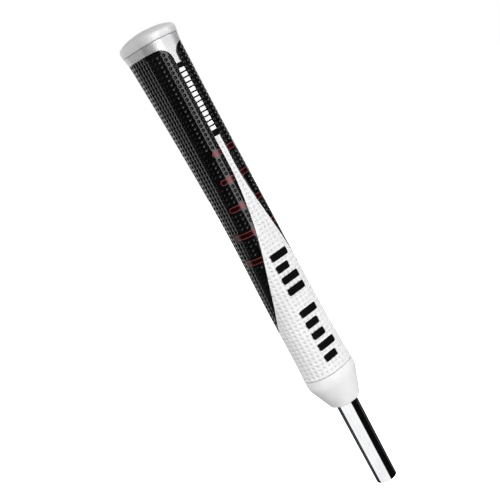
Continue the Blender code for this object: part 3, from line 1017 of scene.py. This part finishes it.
def felt():
    """Non-woven backing with fibres that run mostly upward."""
    finish = Finish("felt", (0.45, 0.43, 0.40), 0.95, Sheen_Weight=0.4)
    fibres = finish.noise(2.5, 6.0, stretch=(1.0, 1.0, 0.3))
    finish.mottle(fibres, (0.36, 0.34, 0.31), (0.52, 0.50, 0.46))
    finish.bump(fibres, 0.08, 0.8)
    return finish.material


def tape():
    """Crepe tape: fine ridges round the shaft."""
    finish = Finish("tape", (0.80, 0.74, 0.60), 0.7)
    ridges = finish.noise(0.8, 3.0, stretch=(0.3, 0.3, 6.0))
    finish.mottle(ridges, (0.70, 0.63, 0.49), (0.84, 0.78, 0.64))
    finish.bump(ridges, 0.05, 0.7)
    return finish.material


# --- studio ----------------------------------------------------------------------------

# Camera: distance in metres; height aimed at, and sideways shift, in millimetres
CAMERA_SIDE = math.radians(31.96)
CAMERA_RISE = math.radians(10.2)
CAMERA_ROLL = math.radians(-28.1)
CAMERA_DISTANCE = 0.6
CAMERA_AIM = 113.38
CAMERA_SHIFT = -10.52
CAMERA_LENS, SENSOR_WIDTH = 67.61, 36.0
TO_CAMERA = Vector((-math.sin(CAMERA_SIDE), -math.cos(CAMERA_SIDE), 0.0))
CAMERA_RIGHT = Vector((math.cos(CAMERA_SIDE), -math.sin(CAMERA_SIDE), 0.0))

# The wall of light on the left is in upright strips, between angles to the camera's right
WALL_ANGLES = (-156.0, -130.0, -125.0, -121.0, -117.0, -112.0, -104.0)
WALL_RADIANCE = (1.3, 1.25, 0.75, 0.2, 0.04, 0.01)
KEY_LEAN, WALL_LEAN = -13.0, 15.0
FILL_BELOW, FILL_ABOVE, FILL_IN_GLOSS = 0.2, 0.85, 0.003
FLOOR_SIZE, FLOOR_HEIGHT = 8.0, -0.3


def make_camera():
    """The camera at the photograph's angle, rolled so that the grip leans."""
    back = TO_CAMERA * math.cos(CAMERA_RISE) + Vector((0.0, 0.0, math.sin(CAMERA_RISE)))
    level_up = CAMERA_RIGHT.cross(-back)
    right = CAMERA_RIGHT * math.cos(CAMERA_ROLL) + level_up * math.sin(CAMERA_ROLL)
    up = level_up * math.cos(CAMERA_ROLL) - CAMERA_RIGHT * math.sin(CAMERA_ROLL)
    aim = Vector((0.0, 0.0, (CAMERA_AIM + MOUTH) * MM)) + right * CAMERA_SHIFT * MM
    data = bpy.data.cameras.new("camera")
    data.lens = CAMERA_LENS
    data.sensor_width = SENSOR_WIDTH
    camera = bpy.data.objects.new("camera", data)
    axes = Matrix((right, up, back)).transposed().to_4x4()
    camera.matrix_world = Matrix.Translation(aim + back * CAMERA_DISTANCE) @ axes
    bpy.context.scene.collection.objects.link(camera)
    bpy.context.scene.camera = camera


def softbox(
    name, angle_deg, distance, bottom, top, width, radiance, aim_height=None, lean_deg=0.0
):
    """A rectangle of light that faces the grip's axis, `angle_deg` to the camera's right.

    Its sizes are in metres. It is turned in its own plane by `lean_deg`.
    """
    angle = math.radians(angle_deg)
    away = TO_CAMERA * math.cos(angle) + CAMERA_RIGHT * math.sin(angle)
    place = away * distance + Vector((0.0, 0.0, 0.5 * (bottom + top)))
    target = Vector((0.0, 0.0, place.z if aim_height is None else aim_height))
    light = bpy.data.lights.new(name, "AREA")
    light.shape = "RECTANGLE"
    light.size, light.size_y = width, top - bottom
    light.energy = radiance * math.pi * light.size * light.size_y
    lamp = bpy.data.objects.new(name, light)
    lamp.location = place
    lamp.rotation_mode = "QUATERNION"
    lean = Quaternion((0.0, 0.0, 1.0), math.radians(lean_deg))
    lamp.rotation_quaternion = (target - place).to_track_quat("-Z", "Y") @ lean
    lamp.visible_camera = False
    bpy.context.scene.collection.objects.link(lamp)
    return lamp


def make_lights():
    """Each light's angle, distance, bottom, top, width and radiance."""
    softbox("key_strip", 35.0, 1.0, -0.15, 0.9, 0.72, 3.6, lean_deg=KEY_LEAN)
    softbox("key_fade", 58.0, 1.05, 0.0, 0.9, 0.10, 0.9, lean_deg=KEY_LEAN)
    for n, radiance in enumerate(WALL_RADIANCE):
        start, end = WALL_ANGLES[n : n + 2]
        angle, width = 0.5 * (start + end), 2.0 * math.tan(math.radians(0.5 * (end - start)))
        softbox(f"left_wall_{n}", angle, 1.0, -0.15, 0.85, width, radiance, lean_deg=WALL_LEAN)
    for n, angle in enumerate((-72.0, -31.0, 10.0)):
        card = softbox(f"low_card_{n}", angle, 0.5, -0.28, -0.09, 0.37, 1.1)
        card.visible_diffuse = False
    for n, angle in enumerate((55.0, 100.0)):
        card = softbox(f"side_card_{n}", angle, 0.5, -0.62, -0.34, 0.37, 1.1)
        card.visible_diffuse = False
    softbox("rear_edge", 142.0, 1.0, -0.55, -0.12, 1.6, 0.04)
    softbox("left_edge", -140.0, 1.0, -0.55, -0.12, 1.6, 0.05)
    softbox("overhead", 140.0, 0.9, 0.8, 1.5, 1.0, 1.5, aim_height=0.2).visible_glossy = False
    softbox("left_fill", -62.0, 1.0, 0.15, 1.1, 0.9, 1.6, aim_height=0.2).visible_glossy = False
    softbox("rear_card", 168.0, 1.0, -0.55, -0.12, 0.4, 0.6)
    softbox("rear_panel", 152.0, 1.0, -0.1, 0.8, 0.6, 0.9)
    softbox("rear_fill", 170.0, 1.0, 0.0, 1.0, 0.9, 0.8).visible_glossy = False


def make_world():
    """White to the camera, almost black in reflections, and a soft grey fill from above."""
    world = bpy.data.worlds.new("studio")
    world.use_nodes = True
    tree = world.node_tree
    background = tree.nodes["Background"]
    path = tree.nodes.new("ShaderNodeLightPath")
    direction = tree.nodes.new("ShaderNodeSeparateXYZ")
    tree.links.new(tree.nodes.new("ShaderNodeTexCoord").outputs["Generated"], direction.inputs[0])
    fill = tree.nodes.new("ShaderNodeMapRange")
    fill.inputs["From Min"].default_value = -1.0
    fill.inputs["To Min"].default_value = FILL_BELOW
    fill.inputs["To Max"].default_value = FILL_ABOVE
    tree.links.new(direction.outputs["Z"], fill.inputs["Value"])
    levels = tree.nodes.new("ShaderNodeMix")
    tree.links.new(fill.outputs["Result"], levels.inputs[2])
    levels.inputs[3].default_value = FILL_IN_GLOSS
    seen = tree.nodes.new("ShaderNodeMix")
    seen.inputs[3].default_value = 1.0
    tree.links.new(path.outputs["Is Glossy Ray"], levels.inputs[0])
    tree.links.new(levels.outputs[0], seen.inputs[2])
    tree.links.new(path.outputs["Is Camera Ray"], seen.inputs[0])
    tree.links.new(seen.outputs[0], background.inputs["Strength"])
    background.inputs["Color"].default_value = (1.0, 1.0, 1.0, 1.0)
    bpy.context.scene.world = world


def make_floor():
    """A plain white sweep, well below the shaft's cut end."""
    bpy.ops.mesh.primitive_plane_add(size=FLOOR_SIZE, location=(0.0, 0.0, FLOOR_HEIGHT))
    floor = bpy.context.object
    floor.name = "floor"
    material = bpy.data.materials.new("floor_white")
    material.use_nodes = True
    shader = material.node_tree.nodes["Principled BSDF"]
    shader.inputs["Base Color"].default_value = (0.9, 0.9, 0.9, 1.0)
    shader.inputs["Emission Color"].default_value = (1.0, 1.0, 1.0, 1.0)
    shader.inputs["Emission Strength"].default_value = 1.0
    floor.data.materials.append(material)
    floor.visible_glossy = False
    floor.visible_diffuse = False
    floor.visible_shadow = False


def main():
    scene = bpy.context.scene
    scene.view_settings.view_transform = "Standard"
    make_camera()
    make_world()
    make_lights()
    make_floor()

    black_sheet, white_sheet = make_skins(black_skin(), white_skin())
    skirt = make_skirt(satin_silver("skirt_silver", tone=0.82, metallic=0.80, rough=0.56))
    cap = make_cap(satin_silver("cap_silver", tone=0.78, metallic=0.45, rough=0.57))
    collar = make_collar(collar_rubber())
    tube = make_shaft(chrome())
    red = paint("red_line", (0.15, 0.024, 0.026), (0.20, 0.034, 0.037), 0.35)
    dark_red = paint(
        "red_floor", (0.008, 0.001, 0.001), (0.012, 0.001, 0.001), 0.22, (1.0, 0.45, 0.5), ior=1.8
    )
    floors, lines = make_slots(red, dark_red)
    white_ink = paint("white_ink", (0.78, 0.78, 0.78), (0.84, 0.84, 0.84), 0.4)
    upper = make_upper_marks(white_ink)
    black_ink = paint("black_ink", (0.002, 0.002, 0.002), (0.004, 0.004, 0.004), 0.45, ior=1.12)
    lower = make_lower_marks(black_ink)

    for piece, node, slot in (
        (black_sheet, "skin_black", "black_skin"),
        (white_sheet, "skin_white", "white_skin"),
        (skirt, "cap_skirt", "skirt_silver"),
        (cap, "end_cap", "cap_silver"),
        (collar, "lower_collar", "white_collar"),
        (tube, "shaft", "shaft_chrome"),
    ):
        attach(piece, BODY)
        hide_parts(node)
    for piece, slot in (
        (floors, "black_skin"),
        (lines, "black_skin"),
        (upper, "black_skin"),
        (lower, "white_skin"),
    ):
        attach(piece, BODY)
    for node, finish in (("foam_core", foam()), ("felt_backing", felt()), ("grip_tape", tape())):
        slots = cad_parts[node].data.materials
        slots.clear()
        slots.append(finish)


main()
